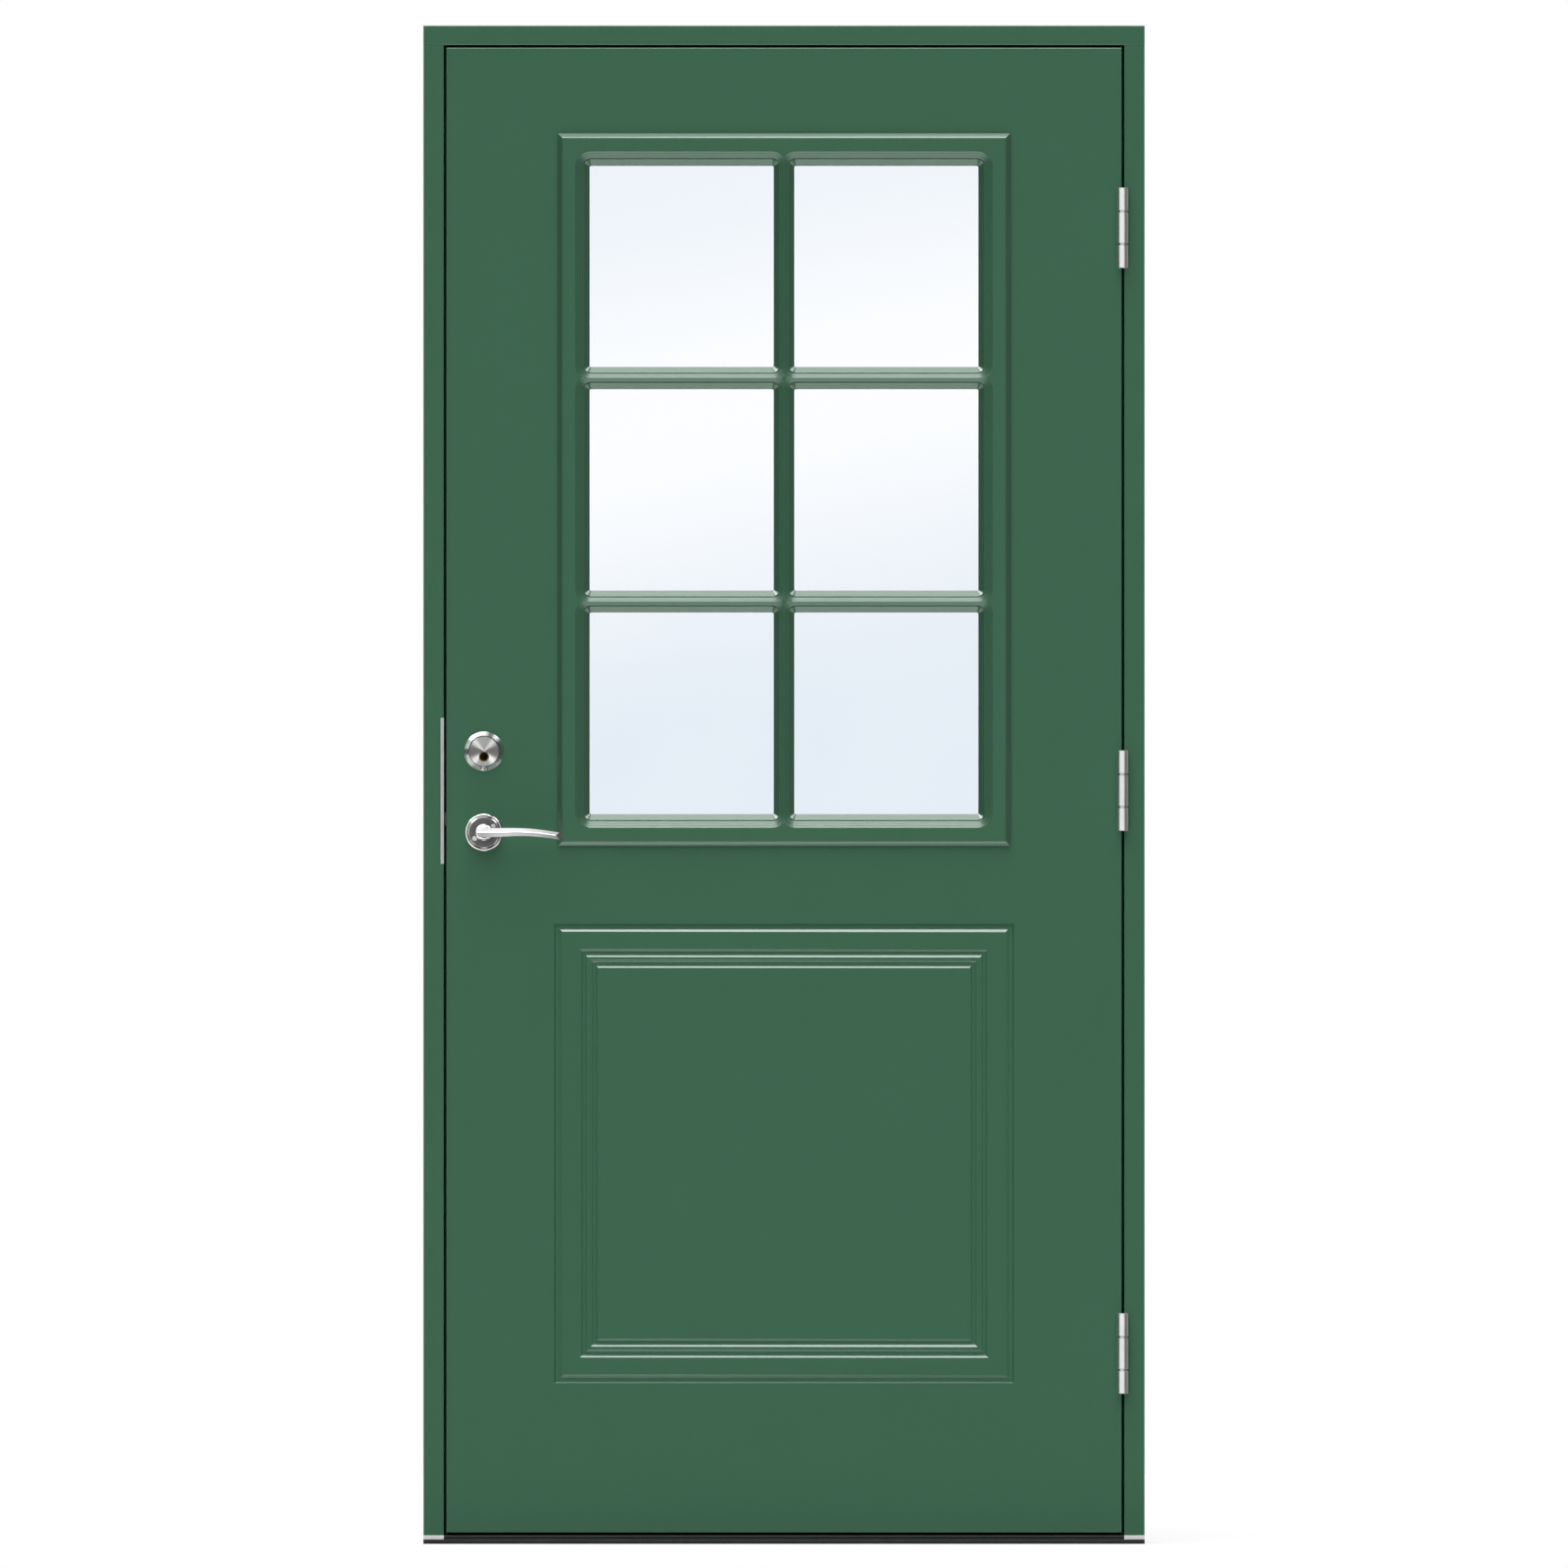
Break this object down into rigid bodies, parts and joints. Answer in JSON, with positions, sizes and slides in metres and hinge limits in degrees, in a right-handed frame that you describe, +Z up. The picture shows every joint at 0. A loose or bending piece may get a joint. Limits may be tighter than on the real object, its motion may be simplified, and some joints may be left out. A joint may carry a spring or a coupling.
{
  "type": "front door with frame",
  "caption": "Glazed front door in its frame with threshold: leaf on pin hinges with a moulded glazing cassette, a milled lower panel, a lever-driven latch and a thumb-turn deadbolt.",
  "frame": {"origin": "on the floor under the middle of the frame's outside face", "axes": "+X to the right seen from outside, +Y into the house, +Z up"},
  "size_m": [0.988, 0.1662, 2.08],
  "materials": {
    "frame_paint": "satin paint",
    "leaf_paint": "satin paint",
    "cassette_paint": "satin paint",
    "edge_paint": "satin paint",
    "insulation": "cellular",
    "threshold_dark": "dark anodised",
    "packer": "matt",
    "seal_rubber": "matt",
    "strike_steel": "satin",
    "fixing_steel": "zinc plated",
    "hinge_steel": "satin",
    "lock_steel": "zinc plated",
    "bolt_steel": "nickel plated",
    "handle_chrome": "polished",
    "disc_steel": "brushed in rings",
    "cylinder_brass": "satin",
    "glass": "clear",
    "spacer": "satin"
  },
  "bodies": {
    "frame": {"frame_head": "frame_paint", "frame_jamb_lock": "frame_paint", "frame_jamb_hinge": "frame_paint", "threshold_base": "threshold_dark", "threshold_rail": "threshold_dark", "jamb_packers": "packer", "seal_lock_side": "seal_rubber", "seal_hinge_side": "seal_rubber", "seal_head": "seal_rubber", "seal_threshold": "seal_rubber", "strike_plate": "strike_steel", "frame_plate_screws": "fixing_steel", "frame_fixing_sleeves": "fixing_steel", "frame_corner_screws": "fixing_steel", "hinge_pins": "hinge_steel", "hinge_washers": "fixing_steel", "hinge_bottom_frame_plate": "hinge_steel", "hinge_middle_frame_plate": "hinge_steel", "hinge_top_frame_plate": "hinge_steel"},
    "leaf": {"leaf_outer_skin": "leaf_paint", "leaf_inner_skin": "leaf_paint", "leaf_lock_stile": "edge_paint", "leaf_hinge_stile": "edge_paint", "leaf_top_rail": "edge_paint", "leaf_bottom_rail": "edge_paint", "leaf_core": "insulation", "cassette_outer": "cassette_paint", "cassette_inner": "cassette_paint", "cassette_screws": "fixing_steel", "leaf_plate_screws": "fixing_steel", "lock_case": "lock_steel", "lock_cover": "lock_steel", "lock_forend": "strike_steel", "handle_rose_screws": "fixing_steel", "cylinder_ring": "handle_chrome", "cylinder_guard": "disc_steel", "cylinder_body": "cylinder_brass", "handle_rose_outer": "handle_chrome", "handle_rose_inner": "handle_chrome", "thumb_turn_rose": "handle_chrome", "glass_outer": "glass", "glass_middle": "glass", "glass_inner": "glass", "spacer_outer": "spacer", "spacer_inner": "spacer", "gasket_outer": "seal_rubber", "gasket_inner": "seal_rubber", "hinge_bottom_leaf_plate": "hinge_steel", "hinge_middle_leaf_plate": "hinge_steel", "hinge_top_leaf_plate": "hinge_steel"},
    "handle": {"lever_outer": "handle_chrome", "lever_inner": "handle_chrome", "handle_spindle": "bolt_steel", "handle_follower": "lock_steel"},
    "latch": {"latch_bolt": "bolt_steel"},
    "deadbolt": {"deadbolt": "bolt_steel"},
    "thumbturn": {"thumb_turn": "handle_chrome", "deadbolt_cam": "lock_steel"},
    "key_plug": {"key_plug": "cylinder_brass"}
  },
  "joints": [
    {"name": "leaf_swing", "type": "hinge", "parent": "frame", "child": "leaf", "pos_m": [0.46425, -0.008, 1.0325], "axis": [0, 0, 1], "range_deg": [0, 110]},
    {"name": "handle_turn", "type": "hinge", "parent": "leaf", "child": "handle", "pos_m": [-0.411, 0.031, 0.9745], "axis": [0, 1, 0], "range_deg": [0, 45], "stiffness_Nm_per_rad": 1.5, "springref_deg": -17.19},
    {"name": "latch_slide", "type": "slide", "parent": "leaf", "child": "latch", "axis": [1, 0, 0], "range_m": [0, 0.012]},
    {"name": "thumb_turn", "type": "hinge", "parent": "leaf", "child": "thumbturn", "pos_m": [-0.411, 0.031, 1.0783], "axis": [0, -1, 0], "range_deg": [0, 90]},
    {"name": "deadbolt_slide", "type": "slide", "parent": "leaf", "child": "deadbolt", "axis": [-1, 0, 0], "range_m": [0, 0.02]},
    {"name": "key_plug_turn", "type": "hinge", "parent": "leaf", "child": "key_plug", "pos_m": [-0.411, 0.031, 1.0783], "axis": [0, -1, 0], "range_deg": [0, 90]}
  ],
  "couplings": [
    {"joint": "latch_slide", "follows": "handle_turn", "m_per_rad": 0.015279},
    {"joint": "thumb_turn", "follows": "deadbolt_slide", "rad_per_m": 78.54},
    {"joint": "key_plug_turn", "follows": "deadbolt_slide", "rad_per_m": 78.54}
  ]
}
